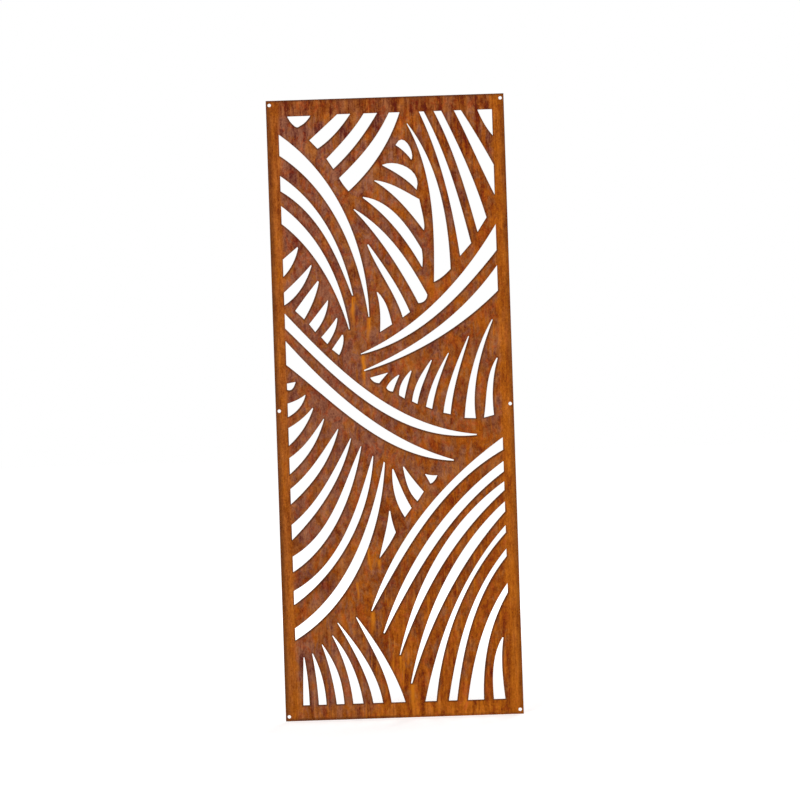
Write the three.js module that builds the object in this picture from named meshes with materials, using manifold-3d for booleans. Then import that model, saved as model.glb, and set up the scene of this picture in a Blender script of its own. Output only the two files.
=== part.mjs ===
// Laser cut metal screen: one flat sheet of weathering steel with a pattern of tapered slots.
// Millimetres, +Z up. The origin is at the middle of the bottom edge, halfway through the sheet.
// The front face looks towards -Y.

import * as THREE from 'three';
import { mergeVertices } from 'three/addons/utils/BufferGeometryUtils.js';
import Module from 'manifold-3d';

const wasm = await Module();
wasm.setup();

// Driving dimensions.
const SHEET_WIDTH = 690;
const SHEET_HEIGHT = 1800;
const SHEET_THICKNESS = 3;
const SIDE_BORDER = 35; // solid steel left and right of the pattern
const END_BORDER = 45; // solid steel above and below the pattern
const HOLE_DIAMETER = 10; // clearance for an M8 screw
const HOLE_FROM_SIDE = 10; // hole centre to the nearer long edge
const HOLE_FROM_END = 13; // hole centre to the top or bottom edge

// Smoothness of the curves.
const FACET_LENGTH = 16; // longest straight facet along a slot's edge
const FACETS_PER_CURVE = 8; // fewest facets in one curved edge
const FACETS_PER_HOLE = 24;

// The pattern as it is drawn: points [across, up] from the lower left corner of the sheet.
// Each slot has two edges, both drawn from the slot's head to its foot. The head is a tip, or a
// straight cut on a border line. The foot is a straight cut, or bows through the foot points.
// An edge of two points is straight, one of three points bows, and one of four points sweeps.
const TOP_LEFT_BANDS = [
  {
    edges: [
      [[128, 1753], [113, 1735], [96, 1724]],
      [[61, 1753], [70, 1737], [81, 1725]],
    ],
    foot: [[89, 1721]],
  },
  {
    edges: [
      [[206, 1755], [162, 1716], [123, 1682]],
      [[244, 1755], [196, 1697], [146, 1657]],
    ],
  },
  {
    edges: [
      [[283, 1755], [249, 1709], [211, 1667], [171, 1627]],
      [[322, 1755], [283, 1698], [241, 1647], [190, 1597]],
    ],
  },
  {
    edges: [
      [[356, 1755], [315, 1687], [266, 1628], [206, 1570]],
      [[387, 1755], [349, 1672], [297, 1597], [232, 1531]],
    ],
    foot: [[216, 1552]],
  },
];

const LEFT_SWEEPS = [
  {
    edges: [
      [[35, 1701], [172, 1553], [253, 1368], [280, 1165]],
      [[35, 1640], [161, 1509], [239, 1344], [278, 1165]],
    ],
  },
  {
    edges: [
      [[35, 1581], [133, 1483], [198, 1362], [235, 1228]],
      [[35, 1537], [126, 1452], [187, 1346], [232, 1229]],
    ],
  },
  {
    edges: [
      [[35, 1494], [129, 1391], [190, 1267], [222, 1131]],
      [[35, 1442], [118, 1353], [179, 1246], [220, 1131]],
    ],
  },
];

const LEFT_SPIKES = [
  {
    edges: [
      [[35, 1339], [78, 1374]],
      [[35, 1289], [63, 1326], [80, 1371]],
    ],
  },
  {
    edges: [
      [[35, 1243], [79, 1283], [116, 1321]],
      [[35, 1206], [83, 1250], [117, 1317]],
    ],
  },
  {
    edges: [
      [[134, 1274], [100, 1233], [66, 1189]],
      [[137, 1271], [120, 1218], [91, 1164]],
    ],
  },
  {
    edges: [
      [[161, 1217], [135, 1185], [105, 1149]],
      [[162, 1214], [149, 1167], [122, 1126]],
    ],
  },
  {
    edges: [
      [[185, 1165], [165, 1139], [139, 1110]],
      [[187, 1163], [178, 1127], [156, 1090]],
    ],
  },
  {
    edges: [
      [[199, 1115], [185, 1096], [169, 1074]],
      [[202, 1115], [201, 1088], [189, 1057]],
    ],
  },
];

const CENTRE_LEAVES = [
  {
    edges: [
      [[373, 1661], [396, 1674], [415, 1649], [418, 1618]],
      [[373, 1660], [397, 1640], [416, 1617]],
    ],
  },
  {
    edges: [
      [[332, 1604], [380, 1605], [422, 1578], [429, 1530]],
      [[333, 1602], [367, 1582], [401, 1557], [429, 1529]],
    ],
  },
  {
    edges: [
      [[308, 1560], [354, 1547], [396, 1525], [436, 1501]],
      [[308, 1558], [360, 1516], [405, 1466], [446, 1411]],
    ],
    foot: [[441, 1474], [447, 1437]],
  },
  {
    edges: [
      [[273, 1513], [344, 1481], [398, 1422], [438, 1356]],
      [[273, 1510], [338, 1450], [392, 1381], [438, 1304]],
    ],
    foot: [[440, 1331]],
  },
  {
    edges: [
      [[246, 1479], [330, 1408], [396, 1321], [450, 1224]],
      [[245, 1477], [314, 1390], [373, 1297], [424, 1200]],
    ],
    foot: [[446, 1211], [437, 1203]],
  },
  {
    edges: [
      [[284, 1375], [326, 1312], [366, 1244], [398, 1175]],
      [[281, 1373], [313, 1302], [350, 1230], [377, 1160]],
    ],
  },
  {
    edges: [
      [[306, 1236], [326, 1207], [337, 1176], [345, 1141]],
      [[304, 1234], [311, 1195], [312, 1157], [310, 1120]],
    ],
  },
];

const TOP_RIGHT_BANDS = [
  {
    edges: [
      [[408, 1722], [476, 1590], [510, 1444], [520, 1296]],
      [[407, 1720], [458, 1572], [474, 1417], [471, 1260]],
    ],
    foot: [[495, 1274]],
  },
  {
    edges: [
      [[457, 1755], [510, 1630], [550, 1500], [582, 1369]],
      [[443, 1755], [493, 1618], [527, 1476], [549, 1333]],
    ],
  },
  {
    edges: [
      [[508, 1755], [554, 1653], [595, 1549], [629, 1442]],
      [[486, 1755], [534, 1640], [571, 1521], [602, 1401]],
    ],
  },
  {
    edges: [
      [[565, 1755], [609, 1680], [655, 1594]],
      [[545, 1755], [582, 1673], [618, 1589], [655, 1507]],
    ],
  },
  {
    edges: [
      [[655, 1755], [655, 1679]],
      [[613, 1755], [632, 1713], [655, 1679]],
    ],
  },
];

const RIGHT_SWEEPS = [
  {
    edges: [
      [[655, 1421], [545, 1274], [411, 1150], [252, 1059]],
      [[655, 1346], [541, 1222], [409, 1119], [252, 1057]],
    ],
  },
  {
    edges: [
      [[655, 1302], [541, 1179], [409, 1084], [260, 1011]],
      [[655, 1229], [536, 1134], [404, 1060], [260, 1008]],
    ],
  },
];

const RIGHT_SPIKES = [
  {
    edges: [
      [[328, 1001], [300, 994], [277, 988]],
      [[328, 1000], [312, 983], [303, 972]],
    ],
    foot: [[288, 976]],
  },
  {
    edges: [
      [[360, 994], [338, 978], [323, 958]],
      [[361, 992], [351, 971], [341, 946]],
    ],
    foot: [[329, 950]],
  },
  {
    edges: [
      [[395, 1005], [377, 985], [364, 962], [359, 935]],
      [[397, 1003], [384, 964], [374, 925]],
    ],
  },
  {
    edges: [
      [[455, 1034], [427, 995], [407, 957], [396, 916]],
      [[457, 1033], [439, 990], [423, 951], [411, 908]],
    ],
  },
  {
    edges: [
      [[505, 1053], [475, 1002], [452, 952], [436, 899]],
      [[507, 1052], [484, 997], [466, 945], [453, 892]],
    ],
  },
  {
    edges: [
      [[565, 1100], [531, 1027], [503, 953], [486, 880]],
      [[567, 1099], [541, 1022], [520, 950], [506, 875]],
    ],
  },
  {
    edges: [
      [[635, 1146], [591, 1056], [562, 960], [547, 863]],
      [[637, 1144], [603, 1052], [581, 956], [579, 861]],
    ],
  },
  {
    edges: [
      [[645, 1034], [621, 979], [611, 921], [603, 862]],
      [[648, 1033], [635, 979], [630, 924], [632, 869]],
    ],
  },
];

const CROSSING_SWEEPS = [
  {
    edges: [
      [[35, 1182], [189, 1019], [366, 885], [580, 815]],
      [[35, 1139], [188, 984], [366, 856], [580, 812]],
    ],
  },
  {
    edges: [
      [[35, 1102], [172, 955], [328, 830], [511, 743]],
      [[35, 1033], [177, 908], [330, 796], [511, 740]],
    ],
  },
];

const LOWER_LEFT_BANDS = [
  {
    edges: [
      [[35, 979], [60, 983]],
      [[35, 961], [47, 961], [55, 970], [60, 983]],
    ],
  },
  {
    edges: [
      [[35, 921], [63, 931], [87, 945]],
      [[35, 882], [68, 907], [87, 942]],
    ],
  },
  {
    edges: [
      [[35, 850], [74, 875], [107, 907]],
      [[35, 799], [78, 846], [108, 903]],
    ],
  },
  {
    edges: [
      [[35, 763], [75, 795], [107, 832], [138, 874]],
      [[35, 716], [80, 761], [114, 811], [139, 872]],
    ],
  },
  {
    edges: [
      [[35, 673], [88, 722], [133, 779], [178, 843]],
      [[35, 629], [97, 690], [146, 760], [179, 841]],
    ],
  },
  {
    edges: [
      [[35, 569], [108, 642], [164, 726], [214, 815]],
      [[35, 525], [112, 609], [174, 705], [215, 813]],
    ],
  },
  {
    edges: [
      [[35, 477], [129, 562], [190, 673], [243, 791]],
      [[35, 432], [136, 526], [204, 651], [244, 789]],
    ],
  },
  {
    edges: [
      [[35, 377], [151, 478], [224, 614], [276, 761]],
      [[35, 337], [156, 450], [239, 595], [278, 760]],
    ],
  },
  {
    edges: [
      [[35, 269], [169, 398], [254, 563], [308, 743]],
      [[35, 234], [182, 367], [272, 544], [311, 741]],
    ],
  },
];

const SMALL_LEAVES = [
  {
    edges: [
      [[332, 721], [333, 672], [343, 625], [364, 581]],
      [[335, 721], [350, 682], [365, 645], [384, 607]],
    ],
  },
  {
    edges: [
      [[363, 727], [370, 690], [381, 656], [402, 626]],
      [[366, 727], [392, 689], [421, 653]],
    ],
  },
  {
    edges: [
      [[427, 704], [443, 700], [462, 699]],
      [[427, 703], [434, 690], [441, 676]],
    ],
    foot: [[452, 683]],
  },
  {
    edges: [
      [[322, 600], [327, 569], [336, 538]],
      [[319, 600], [311, 557], [299, 511], [287, 465]],
    ],
    foot: [[323, 515], [307, 491]],
  },
];

const LOWER_RIGHT_BANDS = [
  {
    edges: [
      [[655, 803], [489, 668], [354, 505], [258, 313]],
      [[655, 767], [494, 645], [368, 487], [260, 312]],
    ],
  },
  {
    edges: [
      [[655, 734], [500, 599], [378, 435], [291, 247]],
      [[655, 704], [509, 571], [393, 415], [294, 246]],
    ],
  },
  {
    edges: [
      [[655, 675], [508, 540], [403, 372], [336, 182]],
      [[655, 650], [522, 512], [418, 356], [338, 182]],
    ],
  },
  {
    edges: [
      [[655, 617], [522, 469], [426, 292], [366, 99]],
      [[655, 588], [536, 441], [441, 277], [369, 98]],
    ],
  },
  {
    edges: [
      [[655, 548], [542, 397], [461, 227], [406, 45]],
      [[655, 527], [548, 384], [476, 221], [438, 45]],
    ],
  },
  {
    edges: [
      [[655, 480], [565, 345], [509, 199], [474, 45]],
      [[655, 458], [575, 333], [526, 192], [498, 45]],
    ],
  },
  {
    edges: [
      [[655, 380], [594, 275], [554, 161], [530, 45]],
      [[655, 353], [608, 254], [583, 151], [576, 45]],
    ],
  },
  {
    edges: [
      [[635, 223], [612, 167], [604, 106], [605, 45]],
      [[638, 223], [632, 164], [633, 104], [638, 45]],
    ],
  },
];

const BOTTOM_SPIKES = [
  {
    edges: [
      [[57, 184], [54, 115], [52, 45]],
      [[59, 184], [67, 118], [70, 45]],
    ],
  },
  {
    edges: [
      [[82, 195], [92, 120], [97, 45]],
      [[84, 194], [109, 123], [119, 45]],
    ],
  },
  {
    edges: [
      [[111, 219], [135, 133], [149, 45]],
      [[113, 219], [145, 162], [163, 107], [171, 45]],
    ],
  },
  {
    edges: [
      [[142, 244], [179, 147], [197, 45]],
      [[144, 244], [184, 183], [211, 115], [226, 45]],
    ],
  },
  {
    edges: [
      [[158, 281], [198, 207], [234, 125], [255, 45]],
      [[161, 280], [214, 208], [258, 129], [283, 45]],
    ],
  },
  {
    edges: [
      [[213, 295], [252, 213], [287, 132], [308, 45]],
      [[215, 295], [270, 214], [316, 129], [348, 45]],
    ],
  },
];

const PATTERN = [
  ...TOP_LEFT_BANDS,
  ...LEFT_SWEEPS,
  ...LEFT_SPIKES,
  ...CENTRE_LEAVES,
  ...TOP_RIGHT_BANDS,
  ...RIGHT_SWEEPS,
  ...RIGHT_SPIKES,
  ...CROSSING_SWEEPS,
  ...LOWER_LEFT_BANDS,
  ...SMALL_LEAVES,
  ...LOWER_RIGHT_BANDS,
  ...BOTTOM_SPIKES,
];

// The window is the area inside the borders. The drawn pattern touches all four sides of its own
// frame, and that frame is laid over the window, so the pattern follows the sheet and the borders.
const WINDOW = new THREE.Box2(
  new THREE.Vector2(SIDE_BORDER, END_BORDER),
  new THREE.Vector2(SHEET_WIDTH - SIDE_BORDER, SHEET_HEIGHT - END_BORDER),
);
const DRAWN_FRAME = new THREE.Box2().setFromPoints(
  PATTERN.flatMap((slot) => slot.edges.flat()).map(([across, up]) => new THREE.Vector2(across, up)),
);

function placeInWindow([across, up]) {
  const share = DRAWN_FRAME.getParameter(new THREE.Vector2(across, up), new THREE.Vector2());
  return WINDOW.getSize(new THREE.Vector2()).multiply(share).add(WINDOW.min);
}

// A curve through two, three or four points: a line, a quadratic or a cubic.
function curveThrough(points) {
  const [start, second, third] = points;
  const end = points.at(-1);
  if (points.length === 2) {
    return new THREE.LineCurve(start, end);
  }
  if (points.length === 3) {
    // The curve is halfway along at the middle point.
    const control = new THREE.Vector2();
    control.addScaledVector(second, 2).addScaledVector(start, -0.5).addScaledVector(end, -0.5);
    return new THREE.QuadraticBezierCurve(start, control, end);
  }
  // The curve is a third of the way along at the second point and two thirds at the third.
  const control1 = new THREE.Vector2();
  control1.addScaledVector(start, -5 / 6).addScaledVector(second, 3);
  control1.addScaledVector(third, -3 / 2).addScaledVector(end, 1 / 3);
  const control2 = new THREE.Vector2();
  control2.addScaledVector(start, 1 / 3).addScaledVector(second, -3 / 2);
  control2.addScaledVector(third, 3).addScaledVector(end, -5 / 6);
  return new THREE.CubicBezierCurve(start, control1, control2, end);
}

function facets(points) {
  const curve = curveThrough(points);
  if (points.length === 2) {
    return curve.getPoints(1);
  }
  const count = Math.max(FACETS_PER_CURVE, Math.ceil(curve.getLength() / FACET_LENGTH));
  return curve.getPoints(count);
}

function slotShape(slot) {
  const [edge, otherEdge] = slot.edges.map((points) => points.map(placeInWindow));
  const footPoints = (slot.foot ?? []).map(placeInWindow);
  const foot = [edge.at(-1), ...footPoints, otherEdge.at(-1)];
  const outline = [...facets(edge), ...facets(foot), ...facets(otherEdge).reverse()];
  const distinct = outline.filter((point, index) => !point.equals(outline.at(index - 1)));
  return new THREE.Shape(distinct);
}

function holeShape(across, up) {
  const circle = new THREE.EllipseCurve(across, up, HOLE_DIAMETER / 2, HOLE_DIAMETER / 2);
  return new THREE.Shape(circle.getPoints(FACETS_PER_HOLE).slice(1));
}

function fixingHoles() {
  const columns = [HOLE_FROM_SIDE, SHEET_WIDTH - HOLE_FROM_SIDE];
  const rows = [HOLE_FROM_END, SHEET_HEIGHT / 2, SHEET_HEIGHT - HOLE_FROM_END];
  return columns.flatMap((across) => rows.map((up) => holeShape(across, up)));
}

// A flat shape given a depth, with its back at the given height.
function slab(shape, back, depth) {
  const geometry = new THREE.ExtrudeGeometry(shape, { depth, bevelEnabled: false });
  geometry.translate(0, 0, back);
  return solidFrom(geometry);
}

function solidFrom(geometry) {
  geometry.deleteAttribute('normal');
  geometry.deleteAttribute('uv');
  const merged = mergeVertices(geometry);
  return new wasm.Manifold(
    new wasm.Mesh({
      numProp: 3,
      vertProperties: new Float32Array(merged.attributes.position.array),
      triVerts: new Uint32Array(merged.index.array),
    }),
  );
}

function geometryFrom(solid) {
  const { vertProperties, triVerts } = solid.getMesh();
  const geometry = new THREE.BufferGeometry();
  geometry.setAttribute('position', new THREE.BufferAttribute(vertProperties, 3));
  geometry.setIndex(new THREE.BufferAttribute(triVerts, 1));
  const faceted = geometry.toNonIndexed();
  faceted.computeVertexNormals();
  return faceted;
}

function cutSheet() {
  const blank = new THREE.Shape([
    new THREE.Vector2(0, 0),
    new THREE.Vector2(SHEET_WIDTH, 0),
    new THREE.Vector2(SHEET_WIDTH, SHEET_HEIGHT),
    new THREE.Vector2(0, SHEET_HEIGHT),
  ]);
  let solid = slab(blank, 0, SHEET_THICKNESS);
  for (const shape of [...PATTERN.map(slotShape), ...fixingHoles()]) {
    // Each cut runs one thickness past both faces of the sheet.
    solid = solid.subtract(slab(shape, -SHEET_THICKNESS, 3 * SHEET_THICKNESS));
  }
  const rust = new THREE.MeshStandardMaterial({ color: 0x8f5128, roughness: 0.85, metalness: 0.2 });
  const sheet = new THREE.Mesh(geometryFrom(solid), rust);
  sheet.name = 'cut_sheet';
  // Stand the sheet up, centred over the origin, with its front face towards -Y.
  sheet.rotation.x = Math.PI / 2;
  sheet.position.set(-SHEET_WIDTH / 2, SHEET_THICKNESS / 2, 0);
  return sheet;
}

const screen = new THREE.Group();
screen.add(cutSheet());

export default screen;
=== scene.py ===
# %% [markdown]
# # A laser cut screen of weathering steel
# This notebook dresses a finished CAD model: one flat sheet, 690 mm wide, 1800 mm tall and 3 mm
# thick, cut through with sweeping tapered slots. The model comes in as a fixed frame, in metres,
# with the sheet standing on the floor and its front face towards -Y. The work here is what the
# CAD leaves out: the softened corners and dark rim of every cut, and rust that looks like rust.

# %% The frame
import math

import bmesh
import bpy
from mathutils import Matrix, Vector


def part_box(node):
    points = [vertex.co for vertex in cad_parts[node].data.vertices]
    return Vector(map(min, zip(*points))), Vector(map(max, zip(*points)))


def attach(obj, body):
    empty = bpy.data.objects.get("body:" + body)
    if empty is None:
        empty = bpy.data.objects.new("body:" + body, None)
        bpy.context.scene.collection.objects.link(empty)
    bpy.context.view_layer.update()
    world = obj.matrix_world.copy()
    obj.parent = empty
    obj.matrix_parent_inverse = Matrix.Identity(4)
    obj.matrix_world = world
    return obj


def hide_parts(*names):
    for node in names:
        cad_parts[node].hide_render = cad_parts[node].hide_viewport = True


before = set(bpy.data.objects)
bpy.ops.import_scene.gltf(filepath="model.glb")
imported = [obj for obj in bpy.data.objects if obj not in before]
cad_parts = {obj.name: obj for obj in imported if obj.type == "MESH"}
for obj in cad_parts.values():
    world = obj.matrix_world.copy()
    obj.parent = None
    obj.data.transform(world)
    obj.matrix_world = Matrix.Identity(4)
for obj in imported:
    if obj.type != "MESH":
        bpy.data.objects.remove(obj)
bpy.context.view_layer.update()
SHEET_LOW, SHEET_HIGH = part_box("cut_sheet")
SHEET_SIZE = SHEET_HIGH - SHEET_LOW
SHEET_MIDDLE = (SHEET_LOW + SHEET_HIGH) / 2
print("sheet, in metres:", [round(length, 4) for length in SHEET_SIZE])

# %% [markdown]
# ## Corners and rims
# A laser leaves a crisp corner that handling and rust soften to a few tenths of a millimetre, and
# a narrow strip beside the cut where the heat turns the rust darker, with painted shade added where
# the cut lies above the steel. A Bevel modifier could round the corners, but the strip needs its
# own ring of faces, so both are made in one mesh.
# The frame's own mesh is never changed: a copy has its loose triangles merged first.

# %% A merged copy of the sheet
MERGE_REACH = 1e-6
FRONT_FACING = 0.9  # how squarely a face must look along Y to belong to the front or back

sheet_mesh = bmesh.new()
sheet_mesh.from_mesh(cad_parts["cut_sheet"].data)
bmesh.ops.remove_doubles(sheet_mesh, verts=sheet_mesh.verts, dist=MERGE_REACH)


def is_broad(face):
    """Whether a face belongs to the front or back, and not to a wall."""
    return abs(face.normal.y) > FRONT_FACING


def corner_edges():
    """The edges between a broad face and a wall of a cut or the rim of the sheet."""
    pairs = [(edge, edge.link_faces) for edge in sheet_mesh.edges if len(edge.link_faces) == 2]
    return [edge for edge, faces in pairs if is_broad(faces[0]) != is_broad(faces[1])]


print("merged copy:", len(sheet_mesh.faces), "faces,", len(corner_edges()), "corner edges")

# %% How much painted shade each edge takes
# Painted shade: an edge is shaded most where its slot lies above the steel, and most of all where
# it lies to the upper left.
MOST_SHADED_SLOT_SIDE = Vector((-0.45, 0.0, 0.9)).normalized()

rim_layer = sheet_mesh.verts.layers.float.new("rim")
painted_shade_layer = sheet_mesh.verts.layers.float.new("painted_shade_side")


def slot_direction(vertex):
    """Points from the steel towards the slot, in the plane of the sheet."""
    walls = [face.normal for face in vertex.link_faces if not is_broad(face)]
    return sum(walls, Vector()).normalized()


for vertex in sheet_mesh.verts:
    vertex[painted_shade_layer] = 0.5 + 0.5 * slot_direction(vertex).dot(MOST_SHADED_SLOT_SIDE)
painted_shade = [vertex[painted_shade_layer] for vertex in sheet_mesh.verts]
print("wetness from", round(min(painted_shade), 2), "to", round(max(painted_shade), 2))

# %% The dark strip beside each cut
RIM_WIDTH = 0.0074
EDGE_RIM = 0.0042  # the sheet's own edge has a narrower strip, which stays clear of the holes
HOLE_RADIUS = 0.005
HOLE_RIM = 0.0005
HOLE_ACROSS = 0.335
HOLE_HEIGHTS = (0.013, 0.900, 1.787)
HOLE_CENTRES = [(x, z) for x in (-HOLE_ACROSS, HOLE_ACROSS) for z in HOLE_HEIGHTS]

for side in (-1, 1):
    side_faces = {face for face in sheet_mesh.faces if face.normal.y * side > FRONT_FACING}
    bmesh.ops.inset_region(
        sheet_mesh,
        faces=[face for face in sheet_mesh.faces if face in side_faces],
        thickness=RIM_WIDTH,
        use_boundary=True,
        use_even_offset=False,
    )
    for vertex in {vertex for face in side_faces for vertex in face.verts}:
        # A screw hole is so near the sheet's edge that both strips have to be narrower there.
        for x, z in HOLE_CENTRES:
            outward = vertex.co - Vector((x, vertex.co.y, z))
            if abs(outward.length - HOLE_RADIUS - RIM_WIDTH) < HOLE_RIM:
                vertex.co -= outward.normalized() * (RIM_WIDTH - HOLE_RIM)
        from_edge = min(vertex.co.z, SHEET_SIZE.z - vertex.co.z)
        if from_edge < RIM_WIDTH and abs(vertex.co.x) > SHEET_HIGH.x - RIM_WIDTH:
            at_foot = vertex.co.z < SHEET_MIDDLE.z
            vertex.co.x = math.copysign(SHEET_HIGH.x - EDGE_RIM, vertex.co.x)
            vertex.co.z = EDGE_RIM if at_foot else SHEET_SIZE.z - EDGE_RIM
    # Fill what lies inside the strips afresh, because the old triangles fold over at the tips.
    fill_edges = [
        edge
        for edge in sheet_mesh.edges
        if sum(face in side_faces for face in edge.link_faces) == 1
    ]
    old_faces = [face for face in sheet_mesh.faces if face in side_faces]
    bmesh.ops.delete(sheet_mesh, geom=old_faces, context="FACES")
    bmesh.ops.triangle_fill(
        sheet_mesh, edges=fill_edges, use_beauty=True, normal=(0, side, 0)
    )
sheet_mesh.normal_update()
print("with rims:", len(sheet_mesh.faces), "faces")

# %% Mark the strips for the material
# The strip runs from 1 at the wall to 0 at its inner side.
for vertex in sheet_mesh.verts:
    on_wall = not all(is_broad(face) for face in vertex.link_faces)
    vertex[rim_layer] = 1.0 if on_wall else 0.0
turned = [
    face
    for face in sheet_mesh.faces
    if is_broad(face) and (face.normal.y > 0) != (face.calc_center_median().y > 0)
]
print("marked", len(sheet_mesh.verts), "vertices,", len(turned), "faces turned over")

# %% The softened corners
CORNER_RADIUS = 0.00035

bmesh.ops.bevel(
    sheet_mesh,
    geom=corner_edges(),
    offset=CORNER_RADIUS,
    offset_type="OFFSET",
    affect="EDGES",
    segments=2,
    profile=0.5,
    material=-1,
    clamp_overlap=True,
)
print("with soft corners:", len(sheet_mesh.faces), "faces")

# %% Put the new sheet in the old one's place
new_mesh = bpy.data.meshes.new("rusted_sheet")
sheet_mesh.normal_update()
sheet_mesh.to_mesh(new_mesh)
sheet_mesh.free()
rusted_sheet = bpy.data.objects.new("rusted_sheet", new_mesh)
bpy.context.scene.collection.objects.link(rusted_sheet)
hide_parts("cut_sheet")
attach(rusted_sheet, "root")
print(rusted_sheet.name, "takes the place of cut_sheet")

# %% [markdown]
# ## Sums in a material
# Rust is built from many small sums on patterns. Wiring each sum by hand hides the recipe, so one
# small class holds an output socket and lets Python's own operators add the Math nodes.


# %% A wire that does sums
class Wire:
    """A value on its way through a material. Sums on it add Math nodes."""

    def __init__(self, tree, socket=None):
        self.tree = tree
        self.socket = socket

    def node(self, kind, settings=None, sockets=None, take=0):
        """Adds a node: first its settings, then the values or wires of its sockets."""
        made = self.tree.nodes.new(kind)
        for name, value in (settings or {}).items():
            setattr(made, name, value)
        for name, value in (sockets or {}).items():
            if isinstance(value, Wire):
                self.tree.links.new(value.socket, made.inputs[name])
            else:
                made.inputs[name].default_value = value
        return Wire(self.tree, made.outputs[take])

    def math(self, operation, first, second):
        """Adds a Math node with two values or wires."""
        return self.node("ShaderNodeMath", {"operation": operation}, {0: first, 1: second})

    def __add__(self, other):
        return self.math("ADD", self, other)

    def __sub__(self, other):
        return self.math("SUBTRACT", self, other)

    def __rsub__(self, other):
        return self.math("SUBTRACT", other, self)

    def __mul__(self, other):
        return self.math("MULTIPLY", self, other)

    def __abs__(self):
        return self.math("ABSOLUTE", self, 0.0)

    __radd__ = __add__
    __rmul__ = __mul__


print("a wire takes +, -, * and abs")


# %% Helpers for colours
BRIGHTEST = 255
MIX_SHARE, MIX_FIRST, MIX_SECOND, MIX_COLOUR = 0, 6, 7, 2  # where Mix keeps its colour sockets


def linear(red, green, blue):
    """A colour as a screen shows it, 0 to 255, turned into the light that a material works with.

    The curve is the standard one of screens: a short straight line and then a power.
    """
    light = []
    for level in (red, green, blue):
        share = level / BRIGHTEST
        light.append(share / 12.92 if share < 0.04045 else ((share + 0.055) / 1.055) ** 2.4)
    return (*light, 1.0)


def blend(share, first, second):
    """First where share is 0, second where it is 1."""
    settings = {"data_type": "RGBA", "clamp_factor": True}
    sockets = {MIX_SHARE: share, MIX_FIRST: first, MIX_SECOND: second}
    return share.node("ShaderNodeMix", settings, sockets, take=MIX_COLOUR)


def on_colour(operation, first, second):
    """A sum on each of a colour's three channels."""
    return first.node("ShaderNodeVectorMath", {"operation": operation}, {0: first, 1: second})


def scaled(colour, factor):
    """The colour, made brighter or darker by a factor."""
    sockets = {0: colour, "Scale": factor}
    return factor.node("ShaderNodeVectorMath", {"operation": "SCALE"}, sockets)


print("a screen's middle grey is", round(linear(128, 128, 128)[0], 3), "of full light")


# %% Helpers for patterns
def cloud(place, across, along, detail=2.0, roughness=0.5, shift=0.0, smear=0.0):
    """Soft noise, 0 to 1, whose patches are 1 / across metres wide and 1 / along metres tall."""
    where = place.node(
        "ShaderNodeMapping",
        {"vector_type": "POINT"},
        {"Vector": place, "Location": (shift, shift, shift), "Scale": (across, across, along)},
    )
    sockets = {
        "Vector": where,
        "Scale": 1.0,
        "Detail": detail,
        "Roughness": roughness,
        "Distortion": smear,
    }
    return place.node("ShaderNodeTexNoise", {"noise_dimensions": "3D"}, sockets)


def rise(value, low, high):
    """0 below low, 1 above high, and smooth between. High may be the smaller one."""
    settings = {"interpolation_type": "SMOOTHSTEP"}
    sockets = {"Value": value, "From Min": low, "From Max": high}
    return value.node("ShaderNodeMapRange", settings, sockets)


def reach(vector):
    """How far a place is from the origin of its coordinates."""
    settings = {"operation": "LENGTH"}
    return vector.node("ShaderNodeVectorMath", settings, {0: vector}, take="Value")


OVAL_CORE = 0.2  # how far out from its middle, towards its line, an oval is still full


def oval(place, across, up, half_width, half_height):
    """1 in the middle of an oval on the sheet, 0 outside it. All four are in metres."""
    sockets = {
        "Vector": place,
        "Location": (across, 0.0, up),
        "Scale": (half_width, 1.0, half_height),
    }
    centred = place.node("ShaderNodeMapping", {"vector_type": "TEXTURE"}, sockets)
    return rise(reach(centred), 1.0, OVAL_CORE)


def swing(pattern, most):
    """A pattern turned into a change that is as often down as up, where most goes with 0 to 1."""
    return (pattern - 0.5) * most


def larger(first, second):
    """The larger of two values, of which the first is a wire."""
    return first.math("MAXIMUM", first, second)


def largest(wires):
    """The largest of several wires."""
    top = wires[0]
    for wire in wires[1:]:
        top = larger(top, wire)
    return top


print("patterns: cloud, rise, reach, oval, swing, larger, largest")

# %% [markdown]
# ## Rust
# Weathering steel grows a tight coat of rust. It's never one colour: rain draws vertical streaks,
# the plain borders stay bright orange, the cut bands in the middle go a duller purple-brown, and
# small blotches of red and near-black lie over both. A picture could be wrapped on instead, but it
# would blur close up and repeat on a bigger sheet. So each of these is one soft noise with its own
# size, read in the object's own coordinates so that the pattern stays put from any side.


# %% Start the material
def empty_tree(owner):
    """Clears the nodes of a material or a world, and gives a wire to start from."""
    owner.use_nodes = True
    owner.node_tree.nodes.clear()
    return Wire(owner.node_tree)


def show(shader, kind="ShaderNodeOutputMaterial"):
    """Leads a finished shader to the output."""
    output = shader.tree.nodes.new(kind)
    shader.tree.links.new(shader.socket, output.inputs["Surface"])


rust = bpy.data.materials.new("weathered_steel")
start = empty_tree(rust)
place = start.node("ShaderNodeTexCoord", take="Object")
across_wire = place.node("ShaderNodeSeparateXYZ", None, {"Vector": place}, take="X")
up_wire = place.node("ShaderNodeSeparateXYZ", None, {"Vector": place}, take="Z")
rim = start.node("ShaderNodeAttribute", {"attribute_name": "rim"}, take="Fac")
painted_shade_side = start.node("ShaderNodeAttribute", {"attribute_name": "painted_shade_side"}, take="Fac")
print("rust reads", place.socket.name, "coordinates and the rim and wet attributes")

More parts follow.
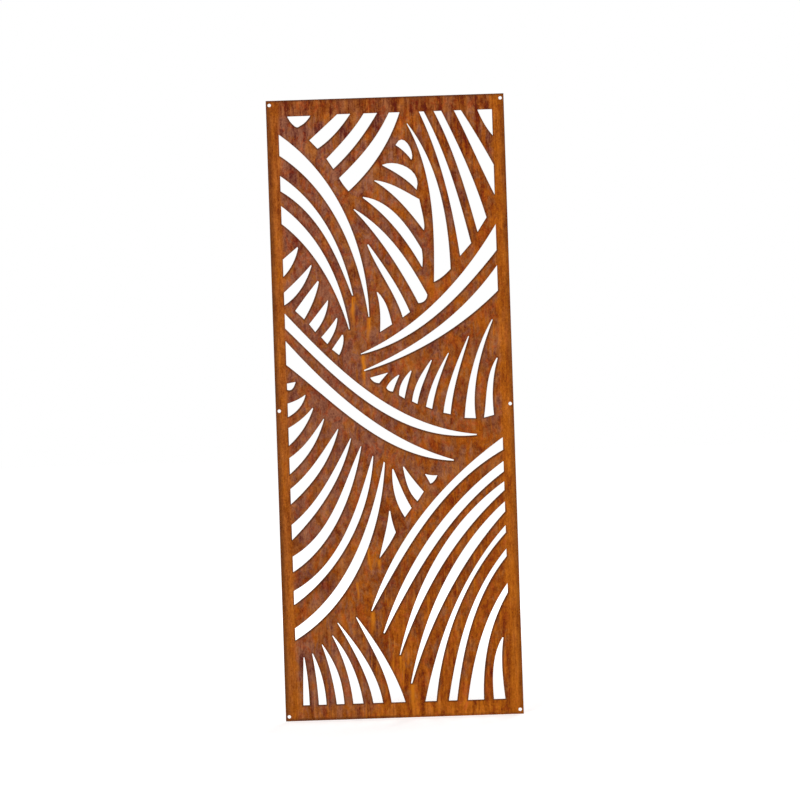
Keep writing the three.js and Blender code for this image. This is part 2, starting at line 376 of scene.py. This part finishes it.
# %% Patterns, from a hand's width down to a grain
patch = cloud(place, 12, 9, detail=3, roughness=0.6, shift=4.4, smear=0.8)
smudge = cloud(place, 26, 16, detail=4, roughness=0.6, shift=21.3, smear=1.2)
blotch = cloud(place, 52, 30, detail=4, roughness=0.66, shift=1.3, smear=1.0)
reddish = cloud(place, 38, 26, detail=4, roughness=0.62, shift=17.9, smear=1.4)
grain = cloud(place, 230, 190, detail=3, roughness=0.7, shift=5.9)
pits = cloud(place, 620, 560, detail=3, roughness=0.75, shift=9.1)
tint = cloud(place, 34, 15, detail=4, roughness=0.66, shift=11.7, smear=1.0)
# The rain's patterns are much taller than they are wide.
run = cloud(place, 46, 5.0, detail=4, roughness=0.62, shift=2.2, smear=0.3)
fine_run = cloud(place, 130, 12.0, detail=3, roughness=0.6, shift=8.4)
hair = cloud(place, 460, 26, detail=2, roughness=0.6, shift=30.1)
tint_run = cloud(place, 38, 4.0, detail=3, roughness=0.6, shift=14.2, smear=0.3)
print("nodes so far:", len(rust.node_tree.nodes))

# %% [markdown]
# ## Zones of colour
# Rust takes its colour from how fast the steel dries. The plain borders are bright orange, the
# lower right is warm, and the upper left and the lower left corner stay purple-brown. Vertex
# colours could hold the zones, but the sheet's big triangles are too coarse for them. Here each
# zone is a smooth step on the place across or up, and a noise moves its line about.

# %% Borders
SIDE_BORDER = 0.035
END_BORDER = 0.045
BORDER_WANDER = 0.016  # how far the inner line of a border wanders in all
FADE_OUT = 0.010  # how far past that line a border's colour reaches
FADE_IN = 0.006  # how far inside it the colour is full
BOTTOM_FADE_IN = 0.010

wander = swing(cloud(place, 30, 12, shift=3.1), BORDER_WANDER)
from_side = SHEET_HIGH.x - abs(across_wire) + wander
from_top = SHEET_SIZE.z - up_wire + wander
from_bottom = up_wire + wander
on_side = rise(from_side, SIDE_BORDER + FADE_OUT, SIDE_BORDER - FADE_IN)
on_top = rise(from_top, END_BORDER + FADE_OUT, END_BORDER - FADE_IN)
on_bottom = rise(from_bottom, END_BORDER + FADE_OUT, END_BORDER - BOTTOM_FADE_IN)
print("borders", SIDE_BORDER, "m at the sides and", END_BORDER, "m at the ends")

# %% Warm and streaky zones
# Warmth is low at the top left, where the rust is purple-brown, and near 1 at the bottom right,
# where it's orange.
MIDDLE_WARMTH = 0.36
WARMTH_PER_METRE = 0.92  # from left to right
FOOT_WARMTH = 0.45
WARM_FOOT = (0.95, 0.15)  # from this height down to that one it grows warmer
LEE = (-0.21, 0.12, 0.24, 0.22)  # across, up, half width and half height
HEAD_ZONE = (1.42, 1.74)
FOOT_ZONE = (0.42, 0.10)
FOOT_STREAKS = 0.8
BOTTOM_STREAKS = 0.5

warmth = MIDDLE_WARMTH + across_wire * WARMTH_PER_METRE
warmth = warmth + rise(up_wire, *WARM_FOOT) * FOOT_WARMTH
# The lower left corner, which stays in the lee, is purple again.
lee = oval(place, *LEE)

# Rain leaves upright runs on the borders and near both ends, and softer mottles between them.
near_head = rise(up_wire, *HEAD_ZONE)
near_foot = rise(up_wire, *FOOT_ZONE)
streaky = largest([on_side, near_head, near_foot * FOOT_STREAKS, on_bottom * BOTTOM_STREAKS])
side_warmth = SHEET_HIGH.x * WARMTH_PER_METRE
print("warmth at the head:", round(MIDDLE_WARMTH - side_warmth, 2), "at the left,",
      round(MIDDLE_WARMTH + side_warmth, 2), "at the right")

# %% From purple-brown to orange
PURPLE_BROWN = linear(134, 81, 58)
ORANGE_BROWN = linear(141, 79, 36)
DEEP_ORANGE = linear(148, 72, 6)
HALFWAY = 0.5  # the hue that is orange-brown, between purple-brown at 0 and deep orange at 1
LEE_COOLING = 0.45
SOFT_STEP = (0.38, 0.62)  # sharpens a pattern: all below the first is 0, all above the second 1
TINT_HUE = 0.8
PATCH_HUE = 1.5
RUN_HUE = 2.8

hue = warmth - lee * LEE_COOLING + swing(rise(tint, *SOFT_STEP), TINT_HUE)
hue = hue + swing(patch, PATCH_HUE) + swing(tint_run, RUN_HUE) * streaky
colour = blend(rise(hue, 0.0, HALFWAY), PURPLE_BROWN, ORANGE_BROWN)
colour = blend(rise(hue, HALFWAY, 1.0), colour, DEEP_ORANGE)
print("hue runs through 3 colours")

# %% The borders' own colours, and red rust
TOP_BROWN = linear(138, 72, 26)
EDGE_ORANGE = linear(165, 87, 14)
RED_RUST = linear(150, 62, 20)
TOP_SHARE = 0.6
EDGE_SHARE = 0.8
LEE_SHELTER = 0.8  # how much of the orange the bottom border loses in the lee
RED_SHARE = 0.55
RED_LOST_ON_SIDE = 0.35
RED_STEP = (0.50, 0.62)

colour = blend(on_top * TOP_SHARE, colour, TOP_BROWN)
orange_border = larger(on_side, on_bottom * (1.0 - lee * LEE_SHELTER))
colour = blend(orange_border * EDGE_SHARE, colour, EDGE_ORANGE)
red_share = rise(reddish, *RED_STEP) * (RED_SHARE - on_side * RED_LOST_ON_SIDE)
colour = blend(red_share, colour, RED_RUST)
print("red rust covers up to", RED_SHARE)

# %% [markdown]
# ## Light and dark
# Runs, mottles, grain and pits are light and dark more than they are colour. Mixing each one in as
# a colour would muddy the zones, so they add up to one level around 1 that multiplies the colour,
# and the hue and the level can be tuned apart.

# %% The level
# How much each pattern lightens or darkens the rust, from its darkest spot to its lightest.
BLOTCH_LIGHT, SMUDGE_LIGHT, PATCH_LIGHT = 1.6, 0.30, 0.7
RUN_LIGHT, FINE_RUN_LIGHT = 2.4, 1.3
GRAIN_LIGHT, PIT_LIGHT = 1.3, 1.1
# How much of the runs and hairs is there on plain rust, and how much more where it's streaky.
PLAIN_RUNS, STREAKY_RUNS = 0.15, 0.85
PLAIN_HAIR, STREAKY_HAIR = 0.3, 0.6
# How much calmer the mottles and runs are on the side borders, and the mottles in the lee.
SIDE_CALM, SIDE_RUN_CALM, LEE_CALM = 0.6, 0.5, 0.35
FOOT_LEVEL = 1.07
LEVEL_LOST_PER_METRE = 0.08  # going up
TOP_DIM = 0.08

mottles = swing(blotch, BLOTCH_LIGHT) + swing(patch, PATCH_LIGHT)
mottles = mottles + swing(rise(smudge, *SOFT_STEP), SMUDGE_LIGHT)
runs = swing(run, RUN_LIGHT) + swing(fine_run, FINE_RUN_LIGHT)
runs = runs * (streaky * STREAKY_RUNS + PLAIN_RUNS) * (1.0 - on_side * SIDE_RUN_CALM)
hairs = (hair - 0.5) * (streaky * STREAKY_HAIR + PLAIN_HAIR)
level = FOOT_LEVEL - up_wire * LEVEL_LOST_PER_METRE - on_top * TOP_DIM
level = level + mottles * (1.0 - on_side * SIDE_CALM - lee * LEE_CALM)
level = level + runs + hairs + swing(grain, GRAIN_LIGHT) + swing(pits, PIT_LIGHT)
head_level = FOOT_LEVEL - SHEET_SIZE.z * LEVEL_LOST_PER_METRE
print("mean level from", FOOT_LEVEL, "at the foot to", round(head_level, 3), "at the head")

# %% Dark clouds and dust
# The dark clouds lie where the fans of slots are closest: across, up, half width and half height.
DARK_CLOUDS = [
    (0.10, 0.41, 0.22, 0.10),
    (-0.24, 0.41, 0.10, 0.05),
    (0.18, 1.68, 0.13, 0.10),
]
CLOUD_DEPTH = 0.45
CLOUD_STEP = (0.42, 0.56)
LEE_LIFT = 0.05
LOWEST_LEVEL = 0.4
DUST = (0.0, 0.030, 0.011)
DEEPEST = (0.03, 0.010, 0.003)

clouds = largest([oval(place, *dark_cloud) for dark_cloud in DARK_CLOUDS])
level = level - clouds * rise(blotch, *CLOUD_STEP) * CLOUD_DEPTH + lee * LEE_LIFT
level = larger(level, LOWEST_LEVEL)
# Light rust is dusty and dark rust is deep, so the green and blue swing more than the red.
colour = on_colour("ADD", scaled(colour, level), scaled(DUST, level - 1.0))
colour = on_colour("MAXIMUM", colour, DEEPEST)
print(len(DARK_CLOUDS), "dark clouds")

# %% [markdown]
# ## Drips
# Water gathers at the lowest tip of a slot and runs down from there, and washes a bright orange
# streak. One noise over the whole sheet can't know where the tips are, so each drip is placed at
# the real foot of a slot: where it starts, how long it is and how wide.

# %% Place the drips
# across from the middle, top, length and width, all in metres
DRIPS = [
    (-0.112, 1.228, 0.120, 0.007),
    (-0.068, 1.167, 0.100, 0.010),
    (-0.086, 1.058, 0.130, 0.009),
    (-0.059, 0.465, 0.050, 0.008),
    (-0.086, 0.315, 0.090, 0.011),
    (-0.085, 0.500, 0.100, 0.007),
    (-0.006, 0.184, 0.080, 0.007),
    (0.023, 0.100, 0.110, 0.013),
    (-0.123, 0.400, 0.080, 0.006),
]
DRIP_WAVER = 0.020
ABOVE_TOP = 0.002
BELOW_TOP = 0.010
FULL_UNTIL = 0.2  # the share of its length down to which a drip keeps its strength

waver = swing(cloud(place, 18, 14, detail=3, shift=6.6), DRIP_WAVER)


def drip_at(across, top, length, width):
    """1 along the middle of a drip near its top, fading to its sides and its foot."""
    beside = rise(abs(across_wire + waver - across), width, 0.0)
    begins = rise(up_wire, top + ABOVE_TOP, top - BELOW_TOP)
    ends = rise(up_wire, top - length, top - length * FULL_UNTIL)
    return beside * (begins * ends)


drips = largest([drip_at(*drip) for drip in DRIPS])
print(len(DRIPS), "drips")

# %% Break the drips into hairs, and add threads
DRIP_ORANGE = linear(202, 116, 20)
HAIR_IN_DRIP, RUN_IN_DRIP = 0.6, 0.5
DRIP_STEP = (0.34, 0.56)
THREAD_STEP = (0.56, 0.68)
THREAD_WARMTH = (0.35, 0.90)
THREAD_SHARE = 0.5
THREADS_LOST_ON_SIDE = 0.2

drips = drips * rise(hair * HAIR_IN_DRIP + fine_run * RUN_IN_DRIP, *DRIP_STEP)
colour = blend(drips, colour, DRIP_ORANGE)
# Finer bright runs cross the orange rust between the drips.
threads = rise(fine_run, *THREAD_STEP) * rise(warmth, *THREAD_WARMTH)
threads = threads * (THREAD_SHARE - on_side * THREADS_LOST_ON_SIDE)
colour = blend(threads, colour, DRIP_ORANGE)
print("threads cover up to", THREAD_SHARE)

# %% [markdown]
# ## The dark rim
# Heat and rust darken the steel at the edge of a cut, and painted shade makes it nearly black where
# the cut lies above the steel, most of all to its upper left. The strip of faces beside each cut
# tells how near the wall is, and the attribute made from the slot's direction how much painted
# shade the edge takes. A strip of one width would look painted on, so blotches and grain make its
# inner side ragged.

# %% Beside the cuts
RIM_DARK = linear(70, 40, 20)
RIM_RAGGED, RIM_GRAIN = 0.7, 0.5
RIM_NARROWED = 0.04
RIM_FULL = 0.55  # how near the wall the dark is full, from 0 at the strip's inner side to 1
STRIP_START = 0.12
# The first share is painted shade where the slot lies above the steel; the second is a little dark
# rust on every cut.
PAINTED_SHADE_DARK, CUT_RUST_DARK = 0.72, 0.08
DRIP_WASH = 0.5  # how much of the dark a drip washes off

ragged_rim = rim + swing(blotch, RIM_RAGGED) + swing(grain, RIM_GRAIN) - RIM_NARROWED
cut_rust_and_shade = rise(ragged_rim, 0.0, RIM_FULL) * rise(rim, 0.0, STRIP_START)
cut_rust_and_shade = cut_rust_and_shade * (painted_shade_side * PAINTED_SHADE_DARK + CUT_RUST_DARK) * (1.0 - drips * DRIP_WASH)
print("the rim is up to", PAINTED_SHADE_DARK + CUT_RUST_DARK, "dark")

# %% Along the sheet's own edges
# How far in from each edge the dark reaches, and how dark it is: the left one most. It is dark rust
# along the edge with painted shade on top, which makes the left and top edges the darkest.
LEFT_REACH, LEFT_DARK = 0.020, 0.66
RIGHT_REACH, RIGHT_DARK = 0.017, 0.46
TOP_REACH, TOP_DARK = 0.009, 0.60
FOOT_REACH, FOOT_DARK = 0.010, 0.32
FOOT_DARK_LEFT = 0.25  # added on the left half
LEFT_HALF = (0.03, -0.05)
EDGE_FULL = 0.001
FOOT_FULL = 0.004
RUN_IN_EDGE, EDGE_EVEN = 1.4, 0.3

foot_dark = FOOT_DARK + rise(across_wire, *LEFT_HALF) * FOOT_DARK_LEFT
edge_rust_and_shade = largest([
    rise(across_wire - SHEET_LOW.x, LEFT_REACH, EDGE_FULL) * LEFT_DARK,
    rise(SHEET_HIGH.x - across_wire, RIGHT_REACH, EDGE_FULL) * RIGHT_DARK,
    rise(SHEET_SIZE.z - up_wire, TOP_REACH, EDGE_FULL) * TOP_DARK,
    rise(up_wire, FOOT_REACH, FOOT_FULL) * foot_dark,
])
rust_and_shade_share = larger(cut_rust_and_shade, edge_rust_and_shade * (run * RUN_IN_EDGE + EDGE_EVEN))
colour = blend(rust_and_shade_share, colour, RIM_DARK)
print("the left edge is dark for", LEFT_REACH, "m")

# %% [markdown]
# ## Relief and shine
# Rust is matt, and mattest where it is thick. Its relief is shallow: a fine pitting over a coarser
# grain. The walls of the cuts carry the laser's ripple, which a noise gives that is fine along the
# wall and nearly the same all through the thickness.

# %% Relief
RIPPLES_ALONG = 900.0  # for each metre of wall
RIPPLES_THROUGH = 40.0
PIT_HEIGHT, GRAIN_HEIGHT, RIPPLE_HEIGHT = 0.5, 0.6, 0.4
RELIEF = 0.0008
RELIEF_SHARE = 0.7

ripple_scale = (RIPPLES_ALONG, RIPPLES_THROUGH, RIPPLES_ALONG)
ripple_place = place.node("ShaderNodeMapping", None, {"Vector": place, "Scale": ripple_scale})
ripple = ripple_place.node(
    "ShaderNodeTexNoise",
    {"noise_dimensions": "3D"},
    {"Vector": ripple_place, "Scale": 1.0, "Detail": 1.0},
)
height = pits * PIT_HEIGHT + grain * GRAIN_HEIGHT + ripple * rim * RIPPLE_HEIGHT
relief = {"Height": height, "Strength": RELIEF_SHARE, "Distance": RELIEF}
bump = start.node("ShaderNodeBump", None, relief)
print("relief of", RELIEF, "m")

# %% Shine
SMOOTHEST = 0.72
PIT_ROUGHNESS = 0.12
PATCH_ROUGHNESS = 0.06
PATCH_STEP = (0.5, 0.7)
RUST_SPECULAR = 0.06  # rust reflects far less than a bare metal or a varnish

roughness = SMOOTHEST + pits * PIT_ROUGHNESS + rise(patch, *PATCH_STEP) * PATCH_ROUGHNESS
steel_sockets = {
    "Metallic": 0.0,
    "Specular IOR Level": RUST_SPECULAR,
    "Base Color": colour,
    "Roughness": roughness,
    "Normal": bump,
}
show(start.node("ShaderNodeBsdfPrincipled", None, steel_sockets))
new_mesh.materials.clear()
new_mesh.materials.append(rust)
print("rust has", len(rust.node_tree.nodes), "nodes")

# %% [markdown]
# ## A white studio
# The sheet stands on a pale floor in even light. What the camera sees of the floor and the world is
# lifted to white by Light Path. More light would do it too, but would wash out the steel. The
# floor still takes the sheet's soft shadow.

# %% What a direct look sees
WHITE = (1.0, 1.0, 1.0, 1.0)


def seen_directly(tree_start):
    """1 for a look by the camera or by way of a reflection or a clear material."""
    kinds = ("Is Camera Ray", "Is Glossy Ray", "Is Transmission Ray")
    return largest([tree_start.node("ShaderNodeLightPath", take=kind) for kind in kinds])


print("white to a direct look is", WHITE[:3])

# %% The floor's shape
FLOOR_REACH = 30.0

floor_shape = bmesh.new()
bmesh.ops.create_grid(floor_shape, x_segments=1, y_segments=1, size=FLOOR_REACH)
floor_mesh = bpy.data.meshes.new("floor")
floor_shape.to_mesh(floor_mesh)
floor_shape.free()
floor = bpy.data.objects.new("floor", floor_mesh)
bpy.context.scene.collection.objects.link(floor)
print("floor reaches", FLOOR_REACH, "m each way")

# %% The floor's finish
FLOOR_PALE = (0.86, 0.86, 0.86, 1.0)
FLOOR_LIFT = 0.38  # added to what a direct look sees, so an unshaded floor is white
FAR_LIFT = 0.34  # added to that far from the lamps
FAR_AWAY = (1.0, 3.5)  # the distances from the sheet between which it's added, in metres

pale = bpy.data.materials.new("pale_floor")
floor_start = empty_tree(pale)
from_sheet = reach(floor_start.node("ShaderNodeTexCoord", take="Object"))
lift = seen_directly(floor_start) * (rise(from_sheet, *FAR_AWAY) * FAR_LIFT + FLOOR_LIFT)
matt = floor_start.node("ShaderNodeBsdfDiffuse", None, {"Color": FLOOR_PALE})
glow = floor_start.node("ShaderNodeEmission", None, {"Color": WHITE, "Strength": lift})
show(floor_start.node("ShaderNodeAddShader", None, {0: matt, 1: glow}))
floor_mesh.materials.append(pale)
print("floor is lifted by", FLOOR_LIFT, "near the sheet and by", FLOOR_LIFT + FAR_LIFT, "far away")

# %% World
WORLD_LIGHT = 0.4

world = bpy.data.worlds.new("studio")
bpy.context.scene.world = world
world_start = empty_tree(world)
strength = seen_directly(world_start) * (1.0 - WORLD_LIGHT) + WORLD_LIGHT
sky = world_start.node("ShaderNodeBackground", None, {"Color": WHITE, "Strength": strength})
show(sky, "ShaderNodeOutputWorld")
print("world gives", WORLD_LIGHT, "of full light")

# %% Lamps
# name, spot in metres, side in metres, watts
LAMPS = [
    ("key", (-2.2, -3.6, 3.6), 2.4, 118),
    ("fill", (3.0, -3.2, 1.8), 2.6, 50),
    ("back", (1.5, 3.6, 3.2), 2.4, 90),
]


def soft_lamp(name, spot, side, watts):
    """A square area lamp at a spot, turned towards the middle of the sheet."""
    light = bpy.data.lights.new(name, "AREA")
    light.size = side
    light.energy = watts
    lamp = bpy.data.objects.new(name, light)
    toward = (SHEET_MIDDLE - Vector(spot)).to_track_quat("-Z", "Y").to_matrix()
    lamp.matrix_world = Matrix.Translation(spot) @ toward.to_4x4()
    bpy.context.scene.collection.objects.link(lamp)


for lamp_row in LAMPS:
    soft_lamp(*lamp_row)
print(len(LAMPS), "lamps")

# %% [markdown]
# ## The camera
# The picture looks at the sheet straight on, from far enough away that its edges stay parallel,
# and the sheet leans 1.9 degrees in the frame. So the camera is level and square to the sheet, and
# it's the camera that is rolled.

# %% Camera
PICTURE_SIDE = 2.320  # metres that the square frame covers at the sheet
LENS = 100.0
SENSOR = 36.0
FARTHEST = 200.0  # metres that the camera sees, past the far corners of the floor
ROLL = math.radians(1.89)
AIM_RIGHT = 0.0153
AIM_UP = 0.0213

camera_right = Vector((math.cos(ROLL), 0.0, -math.sin(ROLL)))
camera_up = Vector((math.sin(ROLL), 0.0, math.cos(ROLL)))
camera_back = Vector((0.0, -1.0, 0.0))
aim = SHEET_MIDDLE + camera_right * AIM_RIGHT + camera_up * AIM_UP
distance = PICTURE_SIDE * LENS / SENSOR
turn = Matrix((camera_right, camera_up, camera_back)).transposed().to_4x4()

view = bpy.data.cameras.new("view")
view.lens = LENS
view.sensor_width = SENSOR
view.clip_end = FARTHEST
camera = bpy.data.objects.new("camera", view)
camera.matrix_world = Matrix.Translation(aim + camera_back * distance) @ turn
bpy.context.scene.collection.objects.link(camera)
bpy.context.scene.camera = camera
bpy.context.scene.view_settings.view_transform = "Standard"
print("camera", [round(value, 3) for value in camera.location], "looks along +Y")
